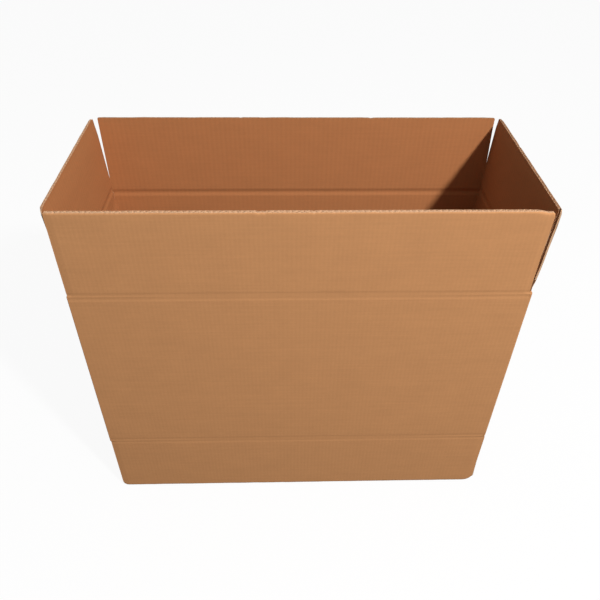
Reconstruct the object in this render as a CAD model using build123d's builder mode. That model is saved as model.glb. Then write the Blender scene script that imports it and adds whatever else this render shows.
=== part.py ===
from build123d import *
from math import cos, radians, sin, tan

# An erected slotted carton of double-wall corrugated board, open at both ends.
# Four walls fold from one blank and close at a glued tab; each wall carries a
# flap above and a flap below, cut free of its neighbours by slots.
# The carton stands on the cut edges of its bottom flaps. Z is up, X is along the
# long walls, and the origin is on the floor under the middle of the tube.

# Driving sizes, in millimetres and degrees
LENGTH = 668.0            # outside, over the side walls
WIDTH = 298.0             # outside, over the front and back walls
BODY = 330.0              # between the upper and lower creases of the front wall
BOARD = 7.0               # double-wall board
MEETING_GAP = 18.0        # between the front and back flaps' edges when they are closed

FLAP_CLEARANCE = 0.5      # between a folded flap and the flap or wall that it passes
SIDE_SLOT_CLEARANCE = 0.7 # between a folded side flap's edge and the long wall beside it
MITRE_GAP = 0.3           # either side of a hinge line, measured along the flap
LEFT_LEAN = 3.2           # outward lean of the left upper flap, and of the right one
RIGHT_LEAN = 2.3

# The crease: a flat pressed band outside and a groove inside
BAND_DEPTH = 1.0
BAND_FLAT = 9.5
BAND_SHOULDER = 5.0
SHOULDER_RADIUS = 8.0
GROOVE_SINK = 1.0         # how far the inner liner sinks towards the groove
GROOVE_REACH = 12.0       # from the hinge line to where the inner liner is flat again
GROOVE_RADIUS = 1.0

# Vertical folds and the manufacturer's joint
FOLD_RADIUS = 4.0
INNER_FOLD_RADIUS = 1.5
TAB_REACH = 40.0
TAB_THICKNESS = 3.5       # the rollers crush the tab to about half the board
TAB_BEVEL = 12.0

# Corners of the flaps' cut edges
CUT_RADIUS = 2.0
WORN_RADIUS = 5.0
SCUFFED_RADIUS = 9.0
CRUSHED_RADIUS = 19.0

CUT_MARGIN = 2.0          # how far a cutting shape runs past the board

# The board's section, from outside: liner, small flutes, liner, large flutes, liner
LINER = 0.35
SMALL_PITCH = 6.3
LARGE_PITCH = 7.8
SMALL_FLUTES = 2.45       # height of the small flutes; the large ones take the rest
MEDIUM = 0.35             # the fluted paper
FLUTE_DEPTH = 10.0        # how deep the flutes are open, narrowing as the paper hides them

# Places worked out from the driving sizes
STEP = BOARD + FLAP_CLEARANCE                      # side creases lie this much farther out
FLAP = (WIDTH - MEETING_GAP) / 2 - BAND_DEPTH      # front and back flaps, crease to edge
SIDE_FLAP = FLAP - STEP                            # side flaps close over the long ones
HEIGHT = BODY + 2 * FLAP
LONG_SPAN = LENGTH - 2 * (BOARD + FLAP_CLEARANCE)  # width of the front and back flaps
SIDE_SPAN = WIDTH - 2 * (BOARD + SIDE_SLOT_CLEARANCE)
INNER = BOARD - BAND_DEPTH                         # inner liner, counted from the hinge line
SHOULDER_END = BAND_FLAT / 2 + BAND_SHOULDER
LIP = INNER - GROOVE_SINK                          # where the mitre leaves the groove
LARGE_FLUTES = BOARD - 3 * LINER - SMALL_FLUTES

UP = Vector(0, 0, 1)
OUTWARD = {
    "front": Vector(0, -1, 0),
    "back": Vector(0, 1, 0),
    "left": Vector(-1, 0, 0),
    "right": Vector(1, 0, 0),
}

# Radii of each flap's two cut corners, as seen from outside the carton with the
# flap pointing up: the corner on the left, then the corner on the right
CORNERS = {
    "front_top": (CUT_RADIUS, WORN_RADIUS),
    "left_top": (WORN_RADIUS, CUT_RADIUS),
    "front_bottom": (CRUSHED_RADIUS, SCUFFED_RADIUS),
}

# The flaps that stand a little open
LEANS = {"left_top": LEFT_LEAN, "right_top": RIGHT_LEAN}


def is_long(side):
    """The front and back walls are the long ones."""
    return side in ("front", "back")


def crease_plane(side, end, lean=0.0):
    """A plane across a crease, with its origin on the hinge line, on the floor of the
    outer band. Its x points into the carton and its y along the flap, to the cut edge."""
    out = OUTWARD[side]
    away = UP if end == "top" else -UP
    half = WIDTH / 2 if is_long(side) else LENGTH / 2
    from_middle = BODY / 2 if is_long(side) else BODY / 2 + STEP
    origin = out * (half - BAND_DEPTH) + UP * (HEIGHT / 2) + away * from_middle
    tilt = radians(lean)
    return Plane(origin=origin, x_dir=-out * cos(tilt) + away * sin(tilt), z_dir=(-out).cross(away))


def flap_section(reach):
    """The board of a flap, cut across its crease: the mitre that clears the wall when
    the flap folds in, the outer band and its shoulder, and the eased inner liner."""
    FilletPolyline(
        (0, MITRE_GAP),
        (0, BAND_FLAT / 2),
        (-BAND_DEPTH, SHOULDER_END),
        (-BAND_DEPTH, reach),
        (INNER, reach),
        (INNER, GROOVE_REACH),
        (LIP, LIP + MITRE_GAP),
        radius=[0, SHOULDER_RADIUS, SHOULDER_RADIUS, 0, 0, SHOULDER_RADIUS, GROOVE_RADIUS],
        close=True,
    )


def wall_cutter():
    """All that a wall lacks at its crease: the same section as the flap's, mirrored in
    the hinge line, and everything beyond it."""
    FilletPolyline(
        (-BAND_DEPTH, -SHOULDER_END),
        (0, -BAND_FLAT / 2),
        (0, -MITRE_GAP),
        (LIP, -LIP - MITRE_GAP),
        (INNER, -GROOVE_REACH),
        (INNER + CUT_MARGIN, -GROOVE_REACH),
        (INNER + CUT_MARGIN, CUT_MARGIN),
        (-BAND_DEPTH - CUT_MARGIN, CUT_MARGIN),
        (-BAND_DEPTH - CUT_MARGIN, -SHOULDER_END),
        radius=[0, SHOULDER_RADIUS, 0, GROOVE_RADIUS, 0, 0, 0, 0, 0],
        close=True,
    )


def flute_hollow(pitch, height):
    """The hollow under one flute, seen in a cut edge: a triangle on the liner, between two
    slopes of the fluted paper, that narrows to a point as it goes down. Its mouth is on XY."""
    wide = pitch / 2 - MEDIUM
    tall = height - MEDIUM
    grow = 1 + CUT_MARGIN / FLUTE_DEPTH
    middle = tall / 3
    first, second, third = [
        Vector(x * grow, middle + (y - middle) * grow, CUT_MARGIN)
        for x, y in ((-wide, 0), (wide, 0), (0, tall))
    ]
    tip = Vector(0, middle, -FLUTE_DEPTH)
    sides = [(first, second, third), (first, second, tip), (second, third, tip), (third, first, tip)]
    return Solid(Shell([Face(Wire.make_polygon(side)) for side in sides]))


def open_flutes(rim, flat_width):
    """Cuts the open ends of both rows of flutes into a cut edge. In each row the hollows
    stand by turns on one liner and hang from the other."""
    rows = (
        (SMALL_PITCH, SMALL_FLUTES, LINER - BAND_DEPTH),
        (LARGE_PITCH, LARGE_FLUTES, 2 * LINER + SMALL_FLUTES - BAND_DEPTH),
    )
    for pitch, height, start in rows:
        standing = flute_hollow(pitch, height)
        hanging = standing.mirror(Plane.XZ)
        count = int(flat_width / pitch)
        with Locations(rim * Location((0, start, 0))):
            with GridLocations(pitch, 0, count, 1):
                add(standing, mode=Mode.SUBTRACT)
        with Locations(rim * Location((0, start + height, 0))):
            with GridLocations(pitch, 0, count - 1, 1):
                add(hanging, mode=Mode.SUBTRACT)


# The sleeve: four walls, folded from one sheet and closed by the glued tab
low_crease = HEIGHT / 2 - BODY / 2

with BuildPart() as sleeve:
    with BuildSketch(Plane.XY.offset(low_crease)) as plan:
        Rectangle(LENGTH, WIDTH)
        folded = plan.vertices().sort_by(Axis((0, 0, 0), (1, -1, 0)))[1:]
        fillet(folded, FOLD_RADIUS)
        RectangleRounded(LENGTH - 2 * BOARD, WIDTH - 2 * BOARD, INNER_FOLD_RADIUS, mode=Mode.SUBTRACT)
    extrude(amount=BODY)

    # the side walls run on past the slots' ends to their own creases
    with BuildSketch(Plane.XY.offset(low_crease - STEP)):
        with GridLocations(LENGTH - BOARD, 0, 2, 1):
            Rectangle(BOARD, SIDE_SPAN)
    extrude(amount=BODY + 2 * STEP)

    for side in OUTWARD:
        span = LONG_SPAN + 2 * FLAP_CLEARANCE if is_long(side) else SIDE_SPAN
        for end in ("top", "bottom"):
            with BuildSketch(crease_plane(side, end)):
                with BuildLine():
                    wall_cutter()
                make_face()
            extrude(amount=span / 2, both=True, mode=Mode.SUBTRACT)

    # the tab lies on the left wall, its ends bevelled, clear of the back wall's grooves
    tab_low = low_crease + GROOVE_REACH
    tab_high = HEIGHT - tab_low
    tab_back = WIDTH / 2 - BOARD
    tab_rise = TAB_REACH * tan(radians(TAB_BEVEL))
    with BuildSketch(Plane.YZ.offset(BOARD - LENGTH / 2)):
        with BuildLine():
            Polyline(
                (tab_back, tab_low),
                (tab_back, tab_high),
                (tab_back - TAB_REACH, tab_high - tab_rise),
                (tab_back - TAB_REACH, tab_low + tab_rise),
                close=True,
            )
        make_face()
    extrude(amount=TAB_THICKNESS)

    # the seam: the back wall turns in at a fold beside the left wall's cut end
    seam_x = BOARD - LENGTH / 2
    with BuildSketch(Plane.XY):
        with BuildLine():
            Line((seam_x, WIDTH / 2 - FOLD_RADIUS), (seam_x, WIDTH / 2 + CUT_MARGIN))
            Line((seam_x, WIDTH / 2 + CUT_MARGIN), (seam_x + FOLD_RADIUS, WIDTH / 2 + CUT_MARGIN))
            Line((seam_x + FOLD_RADIUS, WIDTH / 2 + CUT_MARGIN), (seam_x + FOLD_RADIUS, WIDTH / 2))
            RadiusArc((seam_x + FOLD_RADIUS, WIDTH / 2), (seam_x, WIDTH / 2 - FOLD_RADIUS), -FOLD_RADIUS)
        make_face()
    extrude(amount=HEIGHT, mode=Mode.SUBTRACT)

sleeve.part.label = "sleeve"
export_step(sleeve.part, "parts/sleeve.step")


# The eight flaps: each is a length of the crease's section, trimmed to its outline
for side in OUTWARD:
    for end in ("top", "bottom"):
        name = f"{side}_{end}"
        section = crease_plane(side, end, LEANS.get(name, 0.0))
        reach = FLAP if is_long(side) else SIDE_FLAP
        half_span = (LONG_SPAN if is_long(side) else SIDE_SPAN) / 2
        first, second = CORNERS.get(name, (CUT_RADIUS, CUT_RADIUS))

        with BuildPart() as flap:
            with BuildSketch(section):
                with BuildLine():
                    flap_section(reach)
                make_face()
            extrude(amount=half_span + CUT_MARGIN, both=True)

            sheet = Plane(origin=section.origin, x_dir=section.z_dir, z_dir=-section.x_dir)
            with BuildSketch(sheet):
                with BuildLine():
                    FilletPolyline(
                        (-half_span, -CUT_MARGIN),
                        (half_span, -CUT_MARGIN),
                        (half_span, reach),
                        (-half_span, reach),
                        radius=[0, 0, second, first],
                        close=True,
                    )
                make_face()
            extrude(amount=2 * BOARD, both=True, mode=Mode.INTERSECT)

            if end == "top":
                rim_middle = section.origin + section.y_dir * reach
                rim = Plane(origin=rim_middle, x_dir=section.z_dir, z_dir=section.y_dir)
                open_flutes(rim, 2 * (half_span - max(first, second)))

        flap.part.label = f"{name}_flap"
        export_step(flap.part, f"parts/{name}_flap.step")
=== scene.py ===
# An erected slotted carton of double-wall corrugated board, open at the top and the bottom.
# One blank is folded into four walls and closed by a glued tab. Each wall carries a flap
# above and a flap below, and each flap turns at a pressed crease.
# Lengths are in millimetres until a piece is made, and the piece is in metres.
from collections import namedtuple

import bmesh
import bpy
import numpy as np
from mathutils import Matrix, Vector


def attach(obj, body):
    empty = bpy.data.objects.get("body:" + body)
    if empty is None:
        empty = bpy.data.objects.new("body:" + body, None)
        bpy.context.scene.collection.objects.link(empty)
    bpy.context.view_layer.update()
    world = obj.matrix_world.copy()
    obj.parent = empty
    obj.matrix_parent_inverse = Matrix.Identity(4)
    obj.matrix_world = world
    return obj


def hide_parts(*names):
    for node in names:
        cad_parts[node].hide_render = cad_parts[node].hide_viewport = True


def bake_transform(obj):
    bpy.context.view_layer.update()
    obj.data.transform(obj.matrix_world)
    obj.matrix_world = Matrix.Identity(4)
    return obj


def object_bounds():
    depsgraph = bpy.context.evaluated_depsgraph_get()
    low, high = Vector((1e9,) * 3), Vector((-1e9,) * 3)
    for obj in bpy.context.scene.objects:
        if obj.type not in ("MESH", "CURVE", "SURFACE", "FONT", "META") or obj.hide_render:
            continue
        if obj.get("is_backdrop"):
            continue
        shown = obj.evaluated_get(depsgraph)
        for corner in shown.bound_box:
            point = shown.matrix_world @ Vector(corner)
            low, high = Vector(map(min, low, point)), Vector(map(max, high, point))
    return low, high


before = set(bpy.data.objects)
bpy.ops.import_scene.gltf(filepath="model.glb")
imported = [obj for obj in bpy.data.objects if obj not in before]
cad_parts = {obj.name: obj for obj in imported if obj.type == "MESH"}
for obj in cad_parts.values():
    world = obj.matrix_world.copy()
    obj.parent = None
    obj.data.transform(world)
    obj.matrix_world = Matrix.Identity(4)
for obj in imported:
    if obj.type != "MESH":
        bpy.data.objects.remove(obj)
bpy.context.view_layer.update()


# The sleeve
# Four walls of brown double-wall board, folded at three corners. At the fourth the back
# wall's glued tab is stuck to the inside of the left wall, whose cut end stays in sight.
METRE = 1000.0
LENGTH = 668.0
WIDTH = 298.0
BODY = 330.0                     # from the lower to the upper creases of the front and back walls
LONG_CREASE = 139.0              # height of the front and back walls' lower creases
SIDE_CREASE = 131.5              # and of the side walls', whose flaps close over the long ones
HEIGHT = BODY + 2 * LONG_CREASE
BOARD = 7.0
CORE = 0.9                       # depth at which the walls' plain middle layer starts
SMALL_PITCH = 6.3                # the outer row of flutes
LARGE_PITCH = 7.8                # the inner row of flutes
OUTER_STEP = SMALL_PITCH / 4     # between the columns of an outer liner
INNER_STEP = LARGE_PITCH / 4     # between the columns of an inner liner
COLUMN_CLEAR = 0.3               # share of a step that the columns keep clear of an end
WASHBOARD = 0.07                 # how far a liner sinks between the tips of the flutes
WALL_ROWS = 16
CORNER_ROWS = 20
CREASE_REACH = 13.0              # the crease strips take this much either side of a crease
FOLD_RADIUS = 4.0
INNER_FOLD_RADIUS = 0.5
FOLD_CLEAR = 0.2                 # a fold's curve ends at least this far from its slots
FOLD_TURN = np.radians(np.linspace(0, 90, 9))
SHARP = np.radians(48)           # edges that turn by more are left hard

# The slow waves in the board: each one's size, turn to the millimetre, heading and start
chance = np.random.default_rng(61)
SLOW_WAVES = [
    (chance.uniform(0.02, 0.05), 2 * np.pi / chance.uniform(70, 190), chance.uniform(0, 2 * np.pi),
     chance.uniform(0, 2 * np.pi))
    for _ in range(7)
]


def washboard(along, pitch, size):
    """Depth of a liner below its flutes' tips: the size times half of one less the cosine
    of the place along the sheet, one turn to each flute."""
    return size * (1 - np.cos(2 * np.pi * along / pitch)) / 2


def unevenness(along, height):
    """Depth of the board's slow waves: a sum of sines, each with its own length and
    direction over the sheet, and raised so that it is never above the flat face."""
    total = 0.0
    for size, turn, heading, start in SLOW_WAVES:
        across = along * np.cos(heading) + height * np.sin(heading)
        total = total + size * (1 + np.sin(turn * across + start))
    return total / 2


def ease(low, high, value):
    """A smooth step from 0 at low to 1 at high: three times the square of the share passed
    less twice its cube."""
    share = np.clip((value - low) / (high - low), 0, 1)
    return share * share * (3 - 2 * share)


def columns(low, high, step):
    """Places across the flutes: both ends, and each whole step between them that isn't close
    to an end."""
    first = np.ceil((low + COLUMN_CLEAR * step) / step)
    last = np.floor((high - COLUMN_CLEAR * step) / step)
    return np.concatenate([[low], np.arange(first, last + 1) * step, [high]])


class Board:
    """The closed sheets of one piece, each with its finishes and its place on the flat blank."""

    def __init__(self):
        self.points = []
        self.flat = []
        self.faces = []
        self.finish = []
        self.count = 0

    def sheet(self, front, rear, finishes):
        """Adds one closed sheet. Front and rear are each a pair of grids, rows along the flutes
        by columns across: the points, and their places on the flat blank. Quads join a grid's
        neighbours and the two grids' first and last rows, and one face closes each side.
        Finishes are for front, rear and edges."""
        rows, across = front[0].shape[:2]
        rear_rows = rear[0].shape[0]
        face = self.count + np.arange(rows * across).reshape(rows, across)
        back = self.count + rows * across + np.arange(rear_rows * across).reshape(rear_rows, across)
        groups = [
            (self.quads(face), finishes[0]),
            (self.quads(back[:, ::-1]), finishes[1]),
            (self.quads(np.stack([back[0], face[0]])), finishes[2]),
            (self.quads(np.stack([face[-1], back[-1]])), finishes[2]),
        ]
        for quads, finish in groups:
            self.faces.extend(quads.tolist())
            self.finish.extend([finish] * len(quads))
        for column, order in ((0, 1), (-1, -1)):
            ring = np.concatenate([face[:, column], back[::-1, column]])[::order]
            self.faces.append(ring.tolist())
            self.finish.append(finishes[2])
        for grid, place in (front, rear):
            self.points.append(grid.reshape(-1, 3))
            self.flat.append(place.reshape(-1, 3))
            self.count += grid.shape[0] * grid.shape[1]

    @staticmethod
    def quads(grid):
        """One face for each four neighbours of a grid of point numbers."""
        return np.stack([grid[:-1, :-1], grid[:-1, 1:], grid[1:, 1:], grid[1:, :-1]], -1).reshape(-1, 4)

    def piece(self, name, finishes, sharp=SHARP):
        """Makes the Blender object: points in metres, faces turned outwards, edges over the
        sharp angle left hard, and the flat place as an attribute that the finishes read."""
        mesh = bpy.data.meshes.new(name)
        mesh.from_pydata(np.concatenate(self.points) / METRE, [], self.faces)
        flat = mesh.attributes.new("flat", "FLOAT_VECTOR", "POINT")
        flat.data.foreach_set("vector", (np.concatenate(self.flat) / METRE).astype(np.float32).ravel())
        mesh.polygons.foreach_set("material_index", np.array(self.finish, np.int32))
        for finish in finishes:
            mesh.materials.append(finish)
        shell = bmesh.new()
        shell.from_mesh(mesh)
        bmesh.ops.recalc_face_normals(shell, faces=shell.faces)
        shell.to_mesh(mesh)
        shell.free()
        mesh.shade_smooth()
        mesh.set_sharp_from_angle(angle=sharp)
        made = bpy.data.objects.new(name, mesh)
        bpy.context.scene.collection.objects.link(made)
        return made


class Tone:
    """A shader socket in an expression. The operators add Math nodes, and node() adds any
    other: its type, its settings, then the values or links of its sockets."""

    def __init__(self, tree, socket=None):
        self.tree = tree
        self.socket = socket

    def node(self, kind, settings=None, sockets=None, result=0):
        made = self.tree.nodes.new(kind)
        for name, value in (settings or {}).items():
            setattr(made, name, value)
        for name, value in (sockets or {}).items():
            if isinstance(value, Tone):
                self.tree.links.new(value.socket, made.inputs[name])
            else:
                made.inputs[name].default_value = value
        return Tone(self.tree, made.outputs[result]) if len(made.outputs) else Tone(self.tree)

    def maths(self, operation, first, second=0.0):
        return self.node("ShaderNodeMath", {"operation": operation}, {0: first, 1: second})

    def __add__(self, other):
        return self.maths("ADD", self, other)

    def __radd__(self, other):
        return self.maths("ADD", other, self)

    def __sub__(self, other):
        return self.maths("SUBTRACT", self, other)

    def __rsub__(self, other):
        return self.maths("SUBTRACT", other, self)

    def __mul__(self, other):
        return self.maths("MULTIPLY", self, other)

    def __rmul__(self, other):
        return self.maths("MULTIPLY", other, self)

    def stretched(self, scale):
        """The vector times a scale for each of its parts."""
        return self.node("ShaderNodeVectorMath", {"operation": "MULTIPLY"}, {0: self, 1: scale})

    def cloudy(self, scale, detail=2.0, roughness=0.5):
        """Noise about zero, from -0.5 to 0.5, with so many spots to the metre in each direction."""
        spots = self.node("ShaderNodeTexNoise", {}, {
            "Vector": self.stretched(scale), "Scale": 1.0, "Detail": detail, "Roughness": roughness})
        return spots - 0.5


SHADE = 0.28                     # the darker and the lighter shade differ from the colour by this
BUMP_HEIGHT = 0.0001             # in metres


def kraft(name, colour, pitch, streak, blotch, wave, grain):
    """Kraft paper. Its tone is the sum of streaks that lie across the flutes, as the paper ran
    through the mill, of short fibres, of wide and small blotches, and of one pale line to each
    flute tip. The tone mixes a darker and a lighter shade of the colour. The noises' scales are
    along the blank, up it and through the board."""
    material = bpy.data.materials.new(name)
    material.use_nodes = True
    tree = material.node_tree
    tree.nodes.clear()
    nodes = Tone(tree)
    flat = nodes.node("ShaderNodeAttribute", {"attribute_name": "flat"}, {}, "Vector")
    along = nodes.node("ShaderNodeSeparateXYZ", {}, {0: flat}, "X")
    streaks = flat.cloudy((9.0, 330.0, 2500.0), 3.0, 0.6)
    fibres = flat.cloudy((900.0, 1900.0, 2500.0), 2.0, 0.6)
    blotches = flat.cloudy((22.0, 26.0, 900.0), 3.0, 0.55)
    patches = flat.cloudy((120.0, 150.0, 900.0), 2.0, 0.5)
    turns = along * (2 * np.pi * METRE / pitch)
    ridges = nodes.maths("COSINE", turns) * (0.6 + flat.cloudy((60.0, 12.0, 900.0), 1.0))
    tone = 0.5 + streaks * streak + fibres * grain + ridges * wave
    tone = tone + blotches * blotch + patches * (0.6 * blotch)
    dark = tuple((1 - SHADE) * part for part in colour) + (1.0,)
    light = tuple((1 + SHADE) * part for part in colour) + (1.0,)
    # A colour Mix node numbers its sockets: 0 is the factor, 6 and 7 the colours, 2 the result
    paint = nodes.node(
        "ShaderNodeMix", {"data_type": "RGBA", "clamp_factor": True},
        {0: tone, 6: dark, 7: light}, 2)
    bump = nodes.node("ShaderNodeBump", {}, {
        "Strength": 0.35, "Distance": BUMP_HEIGHT, "Height": fibres + streaks * 0.6})
    shader = nodes.node("ShaderNodeBsdfPrincipled", {}, {
        "Base Color": paint,
        "Roughness": 0.8 + fibres * 0.12,
        "Specular IOR Level": 0.22,
        "Normal": bump,
    })
    nodes.node("ShaderNodeOutputMaterial", {}, {"Surface": shader})
    return material


# The outer liner, the redder inner liner, the pale cut edges, and a dark brown that is painted shade, for
# the shaded inside of the board's open flutes
FINISHES = (
    kraft("outer_kraft", (0.556, 0.264, 0.110), SMALL_PITCH,
          streak=0.24, blotch=0.20, wave=0.030, grain=0.22),
    kraft("inner_kraft", (0.436, 0.171, 0.063), LARGE_PITCH,
          streak=0.22, blotch=0.19, wave=0.055, grain=0.22),
    kraft("cut_kraft", (0.575, 0.355, 0.21), SMALL_PITCH,
          streak=0.15, blotch=0.25, wave=0.0, grain=0.4),
    # Painted shade: a dark brown for the shade inside the open flutes
    kraft("painted_shade_kraft", (0.13, 0.062, 0.03), SMALL_PITCH,
          streak=0.1, blotch=0.1, wave=0.0, grain=0.2),
)
OUTER, INNER, CUT, PAINTED_SHADE = range(4)

# Each wall: the way out of the carton, the way along the blank, how far out its outer face is,
# the place of its middle along the blank, from there its first and last ends at the slots, and
# its flaps' reach, which is the height of its lower crease too. The front wall's slots were cut
# into the side walls' flaps, so its own flaps are the widest.
Wall = namedtuple("Wall", "out way half middle start last reach")
WALLS = {
    "front": Wall((0, -1), (1, 0), WIDTH / 2, 0.0, -332.6, 330.0, LONG_CREASE),
    "right": Wall((1, 0), (0, 1), LENGTH / 2, (LENGTH + WIDTH) / 2, -141.3, 141.3, SIDE_CREASE),
    "back": Wall((0, 1), (-1, 0), WIDTH / 2, LENGTH + WIDTH, -327.0, 328.4, LONG_CREASE),
    "left": Wall((-1, 0), (0, -1), LENGTH / 2, 1.5 * (LENGTH + WIDTH), -141.3, 141.3, SIDE_CREASE),
}
SEAM_START = 322.5               # the back wall is plain as far as this, and then it is folded in


def on_wall(side, along, height, depth):
    """Points of an upright wall: out from the middle by half the carton less the depth, and
    along from the wall's middle. With them, their places on the flat blank."""
    wall = WALLS[side]
    along, height, depth = np.broadcast_arrays(along, height, depth)
    points = np.stack([
        wall.out[0] * (wall.half - depth) + wall.way[0] * (along - wall.middle),
        wall.out[1] * (wall.half - depth) + wall.way[1] * (along - wall.middle),
        height,
    ], -1)
    return points, np.stack([along, height, depth], -1)


def wall_sheets(board, side, first, last, low, high):
    """One wall between two places along the blank and two heights: an outer liner, a plain
    middle and an inner liner."""
    rows = np.linspace(low, high, WALL_ROWS)[:, None]
    ends = np.array([[low], [high]])
    edges = np.array([[first, last]])
    fine = columns(first, last, OUTER_STEP)[None, :]
    coarse = columns(first, last, INNER_STEP)[None, :]
    outer = washboard(fine, SMALL_PITCH, WASHBOARD) + unevenness(fine, rows)
    inner = BOARD - washboard(coarse, LARGE_PITCH, WASHBOARD) - unevenness(coarse, rows)
    board.sheet(on_wall(side, fine, rows, outer),
                on_wall(side, fine, ends, CORE), (OUTER, CUT, CUT))
    board.sheet(on_wall(side, edges, ends, CORE),
                on_wall(side, edges, ends, BOARD - CORE), (CUT, CUT, CUT))
    board.sheet(on_wall(side, coarse, rows, inner),
                on_wall(side, coarse, ends, BOARD - CORE), (INNER, CUT, CUT))


def fold_path(first, second):
    """The outer and inner lines of a folded corner, from the slot in one wall to the slot in
    the next: straight, then a quarter turn, then straight. With them, the places along the
    blank, in proportion to the outer line's length."""
    wall, other = WALLS[first], WALLS[second]
    out, way = np.array(wall.out, float), np.array(wall.way, float)
    other_out, other_way = np.array(other.out, float), np.array(other.way, float)
    turn = FOLD_TURN[:, None]
    room = min(other.half - wall.last, wall.half + other.start) - FOLD_CLEAR
    lines = []
    for depth, radius in ((0.0, min(FOLD_RADIUS, room)), (BOARD, INNER_FOLD_RADIUS)):
        centre = out * (wall.half - depth - radius) + other_out * (other.half - depth - radius)
        arc = centre + radius * (out * np.cos(turn) + other_out * np.sin(turn))
        before = out * (wall.half - depth) + way * wall.last
        after = other_out * (other.half - depth) + other_way * other.start
        lines.append(np.concatenate([[before], arc, [after]]))
    steps = np.linalg.norm(np.diff(lines[0], axis=0), axis=1)
    share = np.concatenate([[0], np.cumsum(steps)]) / steps.sum()
    turned = (other.half - wall.last) + (wall.half + other.start)
    return lines[0], lines[1], wall.middle + wall.last + share * turned


def corner_sheets(board, first, second):
    """A folded corner between two slots: outer liner, middle and inner liner follow the fold.
    The slots' ends take the colour of the liner that shows most beside them rather than the pale cut:
    painted shade, which keeps the lit slot bottoms dark."""
    outer, inner, along = fold_path(first, second)
    # Painted shade: the slot ends get a liner's darker colour instead of the cut's
    slots = OUTER if "front" in (first, second) else INNER
    rows = np.linspace(LONG_CREASE, HEIGHT - LONG_CREASE, CORNER_ROWS)
    ends = rows[[0, -1]]

    def layer(heights, depth):
        """The fold at each height, and at a depth between its outer and inner lines."""
        share = (depth / BOARD)[..., None]
        plan = outer * (1 - share) + inner * share
        height = np.broadcast_to(heights[:, None], plan.shape[:2])
        place = np.broadcast_to(along, plan.shape[:2])
        return (np.concatenate([plan, height[..., None]], -1),
                np.stack([place, height, np.broadcast_to(depth, plan.shape[:2])], -1))

    slack = unevenness(along[None, :], rows[:, None])
    flat = np.zeros((2, len(along)))
    board.sheet(layer(rows, slack), layer(ends, flat + CORE), (OUTER, CUT, slots))
    board.sheet(layer(ends, flat + CORE), layer(ends, flat + BOARD - CORE), (CUT, CUT, slots))
    board.sheet(layer(rows, BOARD - slack), layer(ends, flat + BOARD - CORE), (INNER, CUT, slots))


sleeve = Board()
for side, wall in WALLS.items():
    low = wall.reach + CREASE_REACH
    last = SEAM_START if side == "back" else wall.last
    wall_sheets(sleeve, side, wall.middle + wall.start, wall.middle + last, low, HEIGHT - low)
for first, second in (("front", "right"), ("right", "back"), ("left", "front")):
    corner_sheets(sleeve, first, second)

# The seam: the left wall's cut end, the back wall's rounded edge, and the tab inside
SEAM_FLAT = 0.5                  # the back wall's edge starts to turn in this far past the seam
TAB_REACH = 40.0
TAB_THICKNESS = 3.5
TAB_CLEAR = 12.0                 # from the long creases to the tab's ends
TAB_BEVEL = np.radians(12)
TAB_CRUSH = 26.0                 # the tab's ends are crushed thin over this length
TAB_LEAST = 0.1                  # share of the thickness that is left at its ends
TAB_EDGE = 0.9                   # its free edge is thinner by this
TAB_EDGE_START = 0.85            # from this share of its reach on
TAB_PLACE = 12.0                 # from the seam to the tab along the blank
TAB_UNEVEN = 0.15                # share of the board's slow waves that show in it
left_wall = WALLS["left"]
left_end = np.array([[left_wall.middle - WIDTH / 2, left_wall.middle + left_wall.start]])
seam_rows = np.array([[LONG_CREASE], [HEIGHT - LONG_CREASE]])
sleeve.sheet(
    on_wall("left", left_end, seam_rows, 0.0),
    on_wall("left", left_end, seam_rows, BOARD),
    (OUTER, INNER, CUT),
)

seam_start = WALLS["back"].middle + SEAM_START
bend = FOLD_TURN[None, :]
seam_along = np.concatenate([[[seam_start]], seam_start + SEAM_FLAT + FOLD_RADIUS * np.sin(bend)], 1)
seam_depth = np.concatenate([[[0.0]], FOLD_RADIUS * (1 - np.cos(bend))], 1)
fold_rows = np.array([[LONG_CREASE + CREASE_REACH], [HEIGHT - LONG_CREASE - CREASE_REACH]])
sleeve.sheet(
    on_wall("back", seam_along, fold_rows, seam_depth),
    on_wall("back", seam_along, fold_rows, BOARD),
    (OUTER, INNER, CUT),
)

# The tab's columns and rows are shares of its reach and of its height, close where it thins
tab_share = np.array([0.0, 0.12, 0.3, 0.6, 0.9, 0.97, 1.0])[None, :]
tab_half = np.array([0.0, 0.01, 0.02, 0.035, 0.05, 0.065, 0.08, 0.1, 0.2, 0.35])
tab_rows = np.concatenate([tab_half, [0.5], 1 - tab_half[::-1]])[:, None]
tab_y = WIDTH / 2 - BOARD - TAB_REACH * tab_share
tab_low = LONG_CREASE + TAB_CLEAR + TAB_REACH * tab_share * np.tan(TAB_BEVEL)
tab_height = tab_low + (HEIGHT - 2 * tab_low) * tab_rows
tab_whole = ease(0.0, TAB_CRUSH, tab_height - tab_low) * ease(0.0, TAB_CRUSH, HEIGHT - tab_low - tab_height)
tab_thickness = TAB_THICKNESS - TAB_EDGE * ease(TAB_EDGE_START, 1.0, tab_share)
tab_thickness = tab_thickness * (TAB_LEAST + (1 - TAB_LEAST) * tab_whole)
tab_place = seam_start + TAB_PLACE + TAB_REACH * tab_share


def on_tab(rows, thickness):
    """Points of the tab: x is off the left wall's inner face by the thickness, y runs from the
    back wall to the free edge, and the ends draw in by the bevel."""
    height = tab_low + (HEIGHT - 2 * tab_low) * rows
    x = BOARD - LENGTH / 2 + thickness
    x, y, height, place = np.broadcast_arrays(x, tab_y, height, tab_place)
    return np.stack([x, y, height], -1), np.stack([place, height, np.full(x.shape, BOARD)], -1)


sleeve.sheet(
    on_tab(tab_rows, tab_thickness - TAB_UNEVEN * unevenness(tab_place, tab_height)),
    on_tab(np.array([[0.0], [1.0]]), 0.0),
    (INNER, INNER, INNER),
)
sleeve_board = sleeve.piece("sleeve_board", FINISHES)
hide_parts("sleeve")
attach(sleeve_board, "sleeve")
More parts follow.
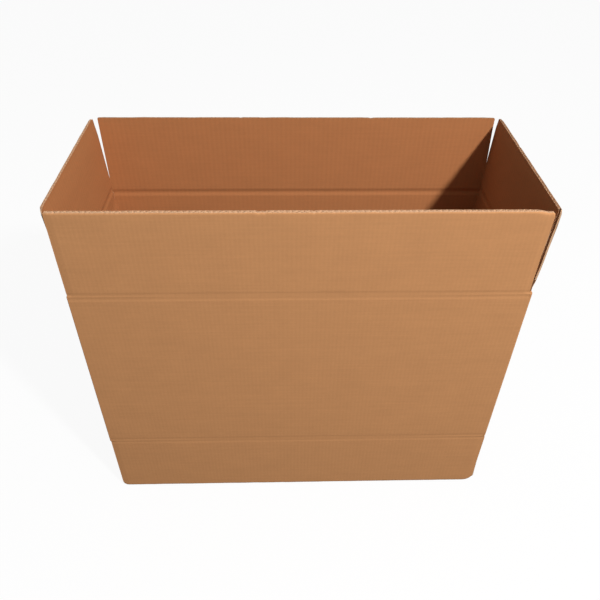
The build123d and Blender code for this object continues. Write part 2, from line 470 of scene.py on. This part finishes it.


# The crease strips
# A scoring wheel presses the board flat before it is folded: a shallow band outside, and a
# groove inside. The paper of the crease is the hinge: past it, the strip turns by its flap's lean at rest.
LINER = 0.35                     # each of the board's three flat papers
PLAIN_CLEAR = 0.3                # the strip's plain middle keeps this far inside its liners
HINGE_DEPTH = 1.0                # of the hinge line, under the outer face
BAND_DEPTH = 0.36
BAND_HALF = 4.2                  # the band is at its full depth this far either side
BAND_OUT = 9.0                   # and gone at this
RIB_REACH = 1.5
RIB_HEIGHTS = (0.03, 0.20)       # in the middle of a wall and near its slots
RIB_SPAN = (120.0, 300.0)        # the rib grows between these, from the wall's middle
GROOVE_DEPTH = 1.3
GROOVE_BED = 0.3                 # half the width of its bed
GROOVE_REACH = 8.0
PRESSED_FLAT = (4.0, 12.0)       # the washboard is gone inside the first and whole past the second
# How far some flaps lean outwards at rest
LEANS = {"left_top": np.radians(3.2), "right_top": np.radians(2.3), "right_bottom": np.radians(2.15)}
BEND_REACH = 7.0                 # a distance either side of the hinge line; the heights worked out from it are not used
# Distances of a strip's rows from its hinge line, and of its further columns from a slot
HALF_ROWS = np.array([
    0.4, 0.9, 1.5, 2.2, 3.0, 3.75, 4.5, 5.4, 6.3, 7.2, 8.1, 9.0, 10.0, 11.5, CREASE_REACH])
BESIDE_SLOT = np.array([0.7, 1.5, 2.5, 4.0, 5.5])
# Share of the board's thickness that the slot knife crushed beside each wall's first and
# second slot, how far in, and the length of flap over which the crushing grows
SLOT_PINCH = {"front": (0.1, 0.1), "right": (0.0, 0.3), "back": (0.3, 0.3), "left": (0.3, 0.55)}
PINCH_REACH = 11.0
PINCH_GROWTH = 4.0
# How far the flaps' ends are drawn along the blank: points of reach and shift, with an eased
# step from each to the next. The front upper flap is crushed in at the right and the front
# lower one is wider there. The back upper one is wider beside its crease, the back lower one is
# narrower, and the right upper one's front edge has a ragged step near its rim.
ENDS_DRAWN = {
    "front_top": {"last": [(0.0, 0.0), (4.0, -2.0), (60.0, -2.0), (139.0, -0.7)]},
    "front_bottom": {"last": [(0.0, 0.0), (3.0, 3.2)]},
    "back_top": {"start": [(60.0, -2.5), (125.0, 0.0)], "last": [(0.0, 0.8), (30.0, 0.0)]},
    "back_bottom": {"start": [(0.0, 0.0), (6.0, 0.7)], "last": [(0.0, 0.0), (6.0, -2.1)]},
    "right_top": {"start": [(99.0, 0.0), (103.0, -2.3)]},
}
END_REACH = 24.0                 # the shift is eased to none this far in from the end
STEP_RAGGED = {"right_top": 1.2}
STEP_LINE = (2.0, 400)           # step and seed of the chance line that makes it ragged
FLAP_BOW = {"right_top": 2.15}
BOW_SKEW = 0.7                   # below 1 the bow is highest below the flap's middle
SCATTER = chance.uniform(-1, 1, 4099)


def scattered(place, step, seed):
    """A smooth chance line between -1 and 1: one random number at each step, and an eased
    curve from each to the next. The seed says where in the row of numbers it starts."""
    at = np.asarray(place) / step + seed
    low = np.floor(at).astype(int)
    part = at - low
    part = part * part * (3 - 2 * part)
    count = len(SCATTER)
    return SCATTER[low % count] * (1 - part) + SCATTER[(low + 1) % count] * part


def crease_height(side, end):
    """Height of a hinge line, and +1 where its flap points up or -1 where it points down."""
    reach = WALLS[side].reach
    return (HEIGHT - reach, 1) if end == "top" else (reach, -1)


def slot_pinch(side, along, reach):
    """Share of the thickness lost beside a slot: most at the slot, eased to none at the pinch's
    reach, and none on the wall."""
    wall = WALLS[side]
    first_share, last_share = SLOT_PINCH[side]
    first = first_share * (1 - ease(0.0, PINCH_REACH, along - wall.middle - wall.start))
    last = last_share * (1 - ease(0.0, PINCH_REACH, wall.middle + wall.last - along))
    return (first + last) * ease(0.0, PINCH_GROWTH, reach)


def drawn_aside(name, along, reach):
    """Shift of a flap's columns: for each end the line of eased steps through that end's
    points, times a share that is eased to none farther in."""
    wall = WALLS[name.split("_")[0]]
    place = along - wall.middle
    shares = {
        "start": 1 - ease(wall.start, wall.start + END_REACH, place),
        "last": ease(wall.last - END_REACH, wall.last, place),
    }
    ragged_reach = reach + STEP_RAGGED.get(name, 0.0) * scattered(reach, *STEP_LINE)
    shift = 0.0
    for end, line in ENDS_DRAWN.get(name, {}).items():
        size = line[0][1]
        for (low, first), (high, second) in zip(line, line[1:]):
            size = size + (second - first) * ease(low, high, ragged_reach)
        shift = shift + size * shares[end]
    return shift


def bowed(name, along, reach):
    """How far a flap is bowed outwards: half a sine wave from the crease to the rim, of the
    share of the reach to the power of the skew. It is the most at the flap's first edge and
    eased to none at its last one."""
    wall = WALLS[name.split("_")[0]]
    rise = np.sin(np.pi * np.clip(reach / wall.reach, 0, 1) ** BOW_SKEW)
    return FLAP_BOW.get(name, 0.0) * rise * (1 - ease(wall.start, wall.last, along - wall.middle))


def on_flap(side, end, along, reach, depth):
    """Points beside a crease. Reach is along the flap from the hinge line, and negative on the
    wall. Past the hinge line some flaps lean outwards: reach and depth turn about it by the
    lean. Beside a slot the pinch draws the depth towards the inner face, and the bow lifts it."""
    name = f"{side}_{end}"
    height, up = crease_height(side, end)
    lean = np.where(reach > 0, LEANS.get(name, 0.0), 0.0)
    depth = BOARD - (BOARD - depth) * (1 - slot_pinch(side, along, reach))
    along = along + drawn_aside(name, along, reach)
    sunk = depth - HINGE_DEPTH - bowed(name, along, reach)
    out = reach * np.sin(lean) - sunk * np.cos(lean)
    rise = reach * np.cos(lean) + sunk * np.sin(lean)
    points, _ = on_wall(side, along, height + up * rise, HINGE_DEPTH - out)
    along, place, depth = np.broadcast_arrays(along, height + up * reach, depth)
    return points, np.stack([along, place, depth], -1)


def band(reach, from_middle):
    """Depth of the outer band: its full depth near the hinge line, eased to nothing outside.
    Along the hinge line a low rib stands up in it, a bell curve, highest near the slots."""
    low, high = RIB_HEIGHTS
    rib = low + (high - low) * ease(*RIB_SPAN, np.abs(from_middle))
    rib = rib * np.exp(-(reach / RIB_REACH) ** 2)
    return BAND_DEPTH * (1 - ease(BAND_HALF, BAND_OUT, np.abs(reach))) - rib


def groove(reach):
    """Depth of the inner groove, eased from its bed at the hinge line to nothing."""
    return GROOVE_DEPTH * (1 - ease(GROOVE_BED, GROOVE_REACH, np.abs(reach)))


crease_rows = np.concatenate([-HALF_ROWS[::-1], [0.0], HALF_ROWS])[:, None]
hidden_rows = crease_rows[::3]   # for the papers' rears, which nothing shows
whole = ease(*PRESSED_FLAT, np.abs(crease_rows))
for side, wall in WALLS.items():
    first, last = wall.middle + wall.start, wall.middle + wall.last
    close = np.concatenate([[first], first + BESIDE_SLOT, [last], last - BESIDE_SLOT])
    fine = np.unique(np.concatenate([columns(first, last, OUTER_STEP), close]))[None, :]
    coarse = np.unique(np.concatenate([columns(first, last, INNER_STEP), close]))[None, :]
    edges = np.sort(close)[None, :]
    # Painted shade at the slots: the strips' cut ends take the outer liner's colour rather than the pale
    # cut, and in the side walls the board's middle takes the dark brown that stands for the shade in its
    # open flutes
    between = OUTER if side in ("front", "back") else PAINTED_SHADE
    for end in ("top", "bottom"):
        height, up = crease_height(side, end)
        heights = height + up * crease_rows
        outer = washboard(fine, SMALL_PITCH, WASHBOARD) * whole + unevenness(fine, heights)
        outer = outer + band(crease_rows, fine - wall.middle)
        inner = BOARD - groove(crease_rows) - unevenness(coarse, heights)
        inner = inner - washboard(coarse, LARGE_PITCH, WASHBOARD) * whole
        upper = LINER + PLAIN_CLEAR + band(hidden_rows, 0.0)
        lower = BOARD - LINER - PLAIN_CLEAR - groove(hidden_rows)
        strip = Board()
        strip.sheet(on_flap(side, end, fine, crease_rows, outer),
                    on_flap(side, end, fine, hidden_rows, upper), (OUTER, CUT, OUTER))
        strip.sheet(on_flap(side, end, edges, hidden_rows, upper),
                    on_flap(side, end, edges, hidden_rows, lower), (CUT, CUT, between))
        strip.sheet(on_flap(side, end, coarse, crease_rows, inner),
                    on_flap(side, end, coarse, hidden_rows, lower), (INNER, CUT, OUTER))
        crease_strip = strip.piece(f"{side}_{end}_crease", FINISHES)
        (height - up * BEND_REACH) / METRE
        (height + up * BEND_REACH) / METRE
        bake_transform(crease_strip)


# The flaps
# Each flap is all five papers of the board: three flat liners and two fluted papers, glued at
# the flutes' tips. The knife leaves the flutes' ends open and their edges pale and ragged.
FLUTED = 0.35                    # each of the two fluted papers
LARGE_FLUTES = 3.5               # height of the inner row; the outer row takes the rest
SMALL_FLUTES = BOARD - 3 * LINER - LARGE_FLUTES
GLUE = 0.02
FLAP_SHARP = np.radians(55)
CUT_RADIUS = 2.0
WORN_RADIUS = 5.0
SCUFFED_RADIUS = 9.0
CRUSHED_RADIUS = 15.5
# Radii of a flap's two cut corners, seen from outside with the flap pointing up: left, right
CORNERS = {
    "front_top": (CUT_RADIUS, WORN_RADIUS),
    "left_top": (WORN_RADIUS, CUT_RADIUS),
    "front_bottom": (CRUSHED_RADIUS, SCUFFED_RADIUS),
}
# Knocks in a flap's cut edge: where along it from its middle, half its width, and its depth
KNOCKS = {
    "front_top": [
        (-57.0, 2.5, 1.1), (-50.0, 2.0, 0.9), (14.0, 1.6, 0.8), (41.0, 1.4, 0.5), (322.0, 9.0, 2.2)],
    "back_top": [(-120.0, 3.0, 0.8), (95.0, 2.0, 0.7)],
    "right_top": [(40.0, 2.5, 0.8)],
}
# The chance lines that make the cut edge ragged: how far each cuts back on average, its step,
# its seed, and what each millimetre of a paper's depth adds to the seed
RAGGED = ((0.20, 17.0, 0, 0), (0.06, 4.3, 5, 0), (0.05, 6.0, 0, 11))
# Share of the thickness that the knife crushed at the cut rim from the outer side, and how
# far in, then the same from the inner side. The plain one is for the flaps that aren't named
RIM_PINCH = {
    "front_top": (0.10, 1.3, 0.0, 1.0),
    "back_top": (0.55, 4.0, 0.0, 1.0),
    "left_top": (0.20, 5.0, 0.26, 28.0),
    "right_top": (0.16, 5.0, 0.20, 16.0),
}
PLAIN_PINCH = (0.45, 4.0, 0.0, 1.0)
SQUEEZE = 0.04                   # share of the thickness lost at the cut edge, more or less
SQUEEZE_REACH = 2.2
SQUEEZE_LINE = (7.0, 91)         # step and seed of the chance line that varies it
KNOCK_SQUEEZE = 0.12             # the share that each millimetre of a knock's depth adds
OUTER_RIM_WAVES = 0.10           # the washboard grows by this at the cut edge
INNER_RIM_WAVES = 0.12
SLOT_DEPTH = 1.5                 # the inner papers end this far in from a slot
OPEN_DEPTH = 5.5                 # and this far at the right upper flap's front edge, which is open
OPEN_LEVEL = 2.6                 # and where the outer liner's rear is at this depth
CLOSED_REACH = 1.6               # elsewhere the liners close on each other over this length
CRUSHED_ENDS = 1.0               # the flutes' crushed ends fill the rim to this far below its edge
FILLING = (0.75, 6.05)           # and these depths of it
FLUTES_SEEN = 5.0
LEAST_END_GAP = 0.2              # between a column and an end
LEAST_GAP = 0.12                 # and between columns
CORNER_TURN = np.radians(np.arange(12, 90, 13))      # a cut corner has a column at each of these
# Rows of each kind of paper: shares of its length, up to the cut edge at 0
LINER_LEVELS = np.array([
    1.0, 0.84, 0.68, 0.52, 0.36, 0.22, 0.12, 0.06, 0.04, 0.025, 0.014, 0.006, 0.0])[:, None]
FLUTE_LEVELS = np.array([1.0, 0.5, 0.2, 0.0])[:, None]
FILLING_LEVELS = np.array([1.0, 0.8, 0.6, 0.4, 0.2, 0.06, 0.04, 0.02, 0.008, 0.0])[:, None]


def flap_place(name):
    """A flap's wall, and the radii of its two corners in the order of the wall's ends."""
    side, end = name.split("_")
    radii = CORNERS.get(name, (CUT_RADIUS, CUT_RADIUS))
    return WALLS[side], radii if end == "top" else radii[::-1]


def rim_drop(name, along, depth):
    """How far a flap's cut edge falls short of its full reach: round corners, a ragged line
    that differs a little in each paper, the knocks, and the board's tilt where it leans."""
    wall, radii = flap_place(name)
    place = along - wall.middle
    drop = 0.0
    for radius, from_end in zip(radii, (place - wall.start, wall.last - place)):
        inside = np.clip(radius - from_end, 0, radius)
        drop = drop + radius - np.sqrt(radius**2 - inside**2)
    flap_seed = 37 * sorted(WALLS).index(name.split("_")[0]) + 311 * len(name)
    for size, step, seed, by_paper in RAGGED:
        seed = flap_seed + seed + by_paper * np.round(depth)
        drop = drop + size * (1 + scattered(along, step, seed))
    for at, reach, size in KNOCKS.get(name, []):
        drop = drop + size * np.exp(-((place - at) / reach) ** 2)
    return drop + BOARD * np.sin(LEANS.get(name, 0.0))


def flap_columns(name, step, inset=(0.0, 0.0)):
    """Columns across a flap, closer together round its cut corners and beside its slots."""
    wall, radii = flap_place(name)
    low, high = wall.middle + wall.start, wall.middle + wall.last
    first, last = low + inset[0], high - inset[1]
    near = 1 - np.cos(CORNER_TURN)
    extra = [low + radii[0] * near, high - radii[1] * near, low + BESIDE_SLOT, high - BESIDE_SLOT]
    places = np.sort(np.concatenate([columns(first, last, step)[1:-1], *extra]))
    places = places[(places > first + LEAST_END_GAP) & (places < last - LEAST_END_GAP)]
    places = places[np.diff(places, prepend=first) > LEAST_GAP]
    return np.concatenate([[first], places, [last]])[None, :]


def paper(name, place, levels, shape, length=None, sunk=0.0):
    """One paper of a flap, from its cut edge down by the length, or to the crease strip. Shape
    gives its depth from the place along the sheet, and sunk is how far under the cut edge it
    starts. Near the cut edge, and most of all at a knock, the board is squeezed towards its
    middle, and then pinched from its two faces."""
    side, end = name.split("_")
    wall = WALLS[side]
    middle_depth = np.mean(shape(place, 0.0))
    rim = wall.reach - rim_drop(name, place, middle_depth) - sunk
    under = levels * (rim - CREASE_REACH if length is None else length)
    reach = rim - under
    near = np.exp(-(under + sunk) / SQUEEZE_REACH)
    squeeze = SQUEEZE + SQUEEZE * scattered(place, *SQUEEZE_LINE)
    for at, width, size in KNOCKS.get(name, []):
        knock = np.exp(-((place - wall.middle - at) / (2 * width)) ** 2)
        squeeze = squeeze + KNOCK_SQUEEZE * size * knock
    height, up = crease_height(side, end)
    slack = unevenness(place, height + up * reach)
    depth = shape(place, near) + slack * (1 - 2 * middle_depth / BOARD)
    depth = BOARD / 2 + (depth - BOARD / 2) * (1 - squeeze * near)
    from_outside, outer_reach, from_inside, inner_reach = RIM_PINCH.get(name, PLAIN_PINCH)
    depth = BOARD - (BOARD - depth) * (1 - from_outside * (1 - ease(0.0, outer_reach, under + sunk)))
    depth = depth * (1 - from_inside * (1 - ease(0.0, inner_reach, under + sunk)))
    return on_flap(side, end, place, reach, depth)


def outer_face(along, near):
    """Depth of the outer liner's face, more wavy near the cut edge."""
    return washboard(along, SMALL_PITCH, WASHBOARD + OUTER_RIM_WAVES * near)


def inner_face(along, near):
    """Depth of the inner liner's face, more wavy near the cut edge."""
    return BOARD - washboard(along, LARGE_PITCH, WASHBOARD + INNER_RIM_WAVES * near)


def small_flutes(along, near):
    """Depth of the outer fluted paper: one less the cosine, one turn to each flute."""
    return LINER + GLUE + (SMALL_FLUTES - FLUTED) * (1 - np.cos(2 * np.pi * along / SMALL_PITCH)) / 2


def large_flutes(along, near):
    """Depth of the inner fluted paper: one and the cosine, one turn to each flute."""
    top = 2 * LINER + SMALL_FLUTES
    return top + (LARGE_FLUTES - FLUTED - GLUE) * (1 + np.cos(2 * np.pi * along / LARGE_PITCH)) / 2


def middle_liner(along, near):
    """Depth of the middle liner, which is flat."""
    return LINER + SMALL_FLUTES


def filling(along, near):
    """Depth of the front of the crushed flute ends, just under the outer liner."""
    return FILLING[0]


def thicker(shape, thickness):
    """The rear of a paper: the same shape, deeper by the paper's thickness, which is negative
    for the inner liner."""
    return lambda along, near: shape(along, near) + thickness


def closed_in(name, shape, start_level, last_level):
    """The rear of a liner, which meets its fellow beside a slot, where the knife closed the
    board: the depth is eased to each end's level over the closed reach."""
    wall = WALLS[name.split("_")[0]]

    def rear(along, near):
        first = 1 - ease(0.0, CLOSED_REACH, along - wall.middle - wall.start)
        second = 1 - ease(0.0, CLOSED_REACH, wall.middle + wall.last - along)
        return shape(along, near) * (1 - first - second) + start_level * first + last_level * second

    return rear


for side in WALLS:
    for end in ("top", "bottom"):
        name = f"{side}_{end}"
        is_open = name == "right_top"
        inset = (OPEN_DEPTH if is_open else SLOT_DEPTH, SLOT_DEPTH)
        inside = flap_columns(name, INNER_STEP, inset)
        outer_end, inner_end = (OPEN_LEVEL, BOARD - LINER) if is_open else (BOARD / 2, BOARD / 2)
        outer_rear = closed_in(name, thicker(outer_face, LINER), outer_end, BOARD / 2)
        inner_rear = closed_in(name, thicker(inner_face, -LINER), inner_end, BOARD / 2)
        # Each paper: its columns, its rows, its front, its rear, its length if it isn't whole,
        # how far under the cut edge it starts, and the finish of its front
        papers = [
            (flap_columns(name, OUTER_STEP), LINER_LEVELS, outer_face, outer_rear, None, 0.0, OUTER),
            (flap_columns(name, OUTER_STEP / 2, inset), FLUTE_LEVELS,
             small_flutes, thicker(small_flutes, FLUTED), FLUTES_SEEN, 0.0, CUT),
            (inside, FLUTE_LEVELS, middle_liner, thicker(middle_liner, LINER), FLUTES_SEEN, 0.0, CUT),
            (flap_columns(name, INNER_STEP / 2, inset), FLUTE_LEVELS,
             large_flutes, thicker(large_flutes, FLUTED), FLUTES_SEEN, 0.0, CUT),
            (inside, FILLING_LEVELS, filling, thicker(filling, FILLING[1] - FILLING[0]), None,
             CRUSHED_ENDS, CUT),
            (flap_columns(name, INNER_STEP), LINER_LEVELS, inner_face, inner_rear, None, 0.0, INNER),
        ]
        flap = Board()
        for places, levels, front, rear, length, sunk, finish in papers:
            flap.sheet(paper(name, places, levels, front, length, sunk),
                       paper(name, places, levels, rear, length, sunk), (finish, CUT, CUT))
        flap_board = flap.piece(f"{name}_board", FINISHES, FLAP_SHARP)
        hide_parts(f"{name}_flap")
        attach(flap_board, f"{name}_flap")


# The floor and the light
# A plain pale floor, which the camera sees nearly white. One lamp at the upper right, in front,
# and a weak light from all round that grows towards the top.
FLOOR_REACH = 9.0
FLOOR_GLOW = 0.93                # share of the floor's white that isn't shaded, where it is seen
WHITE = (1.0, 1.0, 1.0, 1.0)
PALE = (0.8, 0.8, 0.8, 1.0)
DIM = (0.12, 0.12, 0.12, 1.0)    # what the floor throws back on the carton
FILL_LEVEL = 0.08
FILL_OVERHEAD = 0.45
LAMP_SIZE = 0.24
LAMP_POWER = 125.0
LAMP_PLACE = (1.496, -1.95, 2.77)
LAMP_AIM = (0, 0, 0.4)
corners = [(x * FLOOR_REACH, y * FLOOR_REACH, 0) for x, y in ((-1, -1), (1, -1), (1, 1), (-1, 1))]
floor_mesh = bpy.data.meshes.new("floor")
floor_mesh.from_pydata(corners, [], [(0, 1, 2, 3)])
floor = bpy.data.objects.new("floor", floor_mesh)
bpy.context.scene.collection.objects.link(floor)
floor_material = bpy.data.materials.new("floor")
floor_material.use_nodes = True
floor_material.node_tree.nodes.clear()
nodes = Tone(floor_material.node_tree)
seen = nodes.node("ShaderNodeLightPath", {}, {}, "Is Camera Ray")
pale = nodes.node("ShaderNodeBsdfDiffuse", {}, {"Color": PALE})
dim = nodes.node("ShaderNodeBsdfDiffuse", {}, {"Color": DIM})
glow = nodes.node("ShaderNodeEmission", {}, {"Color": WHITE, "Strength": 1.0})
shown = nodes.node("ShaderNodeMixShader", {}, {0: FLOOR_GLOW, 1: pale, 2: glow})
surface = nodes.node("ShaderNodeMixShader", {}, {0: seen, 1: dim, 2: shown})
nodes.node("ShaderNodeOutputMaterial", {}, {"Surface": surface})
floor_mesh.materials.append(floor_material)
floor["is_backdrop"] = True

world = bpy.data.worlds.new("studio")
bpy.context.scene.world = world
world.use_nodes = True
world.node_tree.nodes.clear()
nodes = Tone(world.node_tree)
seen = nodes.node("ShaderNodeLightPath", {}, {}, "Is Camera Ray")
white = nodes.node("ShaderNodeBackground", {}, {"Color": WHITE, "Strength": 1.0})
direction = nodes.node("ShaderNodeTexCoord", {}, {}, "Generated")
overhead = nodes.node("ShaderNodeSeparateXYZ", {}, {0: direction}, "Z")
fill = nodes.node("ShaderNodeBackground", {}, {
    "Color": WHITE, "Strength": FILL_LEVEL + FILL_OVERHEAD * nodes.maths("MAXIMUM", overhead, 0.0)})
sky = nodes.node("ShaderNodeMixShader", {}, {0: seen, 1: fill, 2: white})
nodes.node("ShaderNodeOutputWorld", {}, {"Surface": sky})

lamp_data = bpy.data.lights.new("key", "AREA")
lamp_data.shape = "DISK"
lamp_data.size = LAMP_SIZE
lamp_data.energy = LAMP_POWER
lamp = bpy.data.objects.new("key", lamp_data)
bpy.context.scene.collection.objects.link(lamp)
lamp.location = LAMP_PLACE
lamp.rotation_mode = "QUATERNION"
lamp.rotation_quaternion = (Vector(LAMP_AIM) - lamp.location).to_track_quat("-Z", "Y")

bpy.context.scene.view_settings.view_transform = "Standard"


# The camera
# It looks down on the carton from in front, and a little from the left, as the photograph was
# taken. Its place is in metres.
CAMERA_PLACE = (-0.0269, -0.81972, 1.02866)
DOWN = np.radians(40.2)
ASIDE = np.radians(-2.052)
ROLL = np.radians(0.909)
FOCUS = 611.4                    # in pixels of the picture
PICTURE_WIDTH = 600
camera_data = bpy.data.cameras.new("camera")
camera_data.sensor_width = 36.0
camera_data.lens = FOCUS / PICTURE_WIDTH * camera_data.sensor_width
camera = bpy.data.objects.new("camera", camera_data)
bpy.context.scene.collection.objects.link(camera)
turned = Matrix.Rotation(ASIDE, 3, "Z")
ahead = turned @ Vector((0, np.cos(DOWN), -np.sin(DOWN)))
above = turned @ Vector((0, np.sin(DOWN), np.cos(DOWN)))
right = turned @ Vector((1, 0, 0))
rolled_right = np.cos(ROLL) * right + np.sin(ROLL) * above
rolled_above = np.cos(ROLL) * above - np.sin(ROLL) * right
camera.matrix_world = Matrix.Translation(CAMERA_PLACE) @ Matrix(
    (rolled_right, rolled_above, -ahead)).transposed().to_4x4()
bpy.context.scene.camera = camera

low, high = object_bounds()
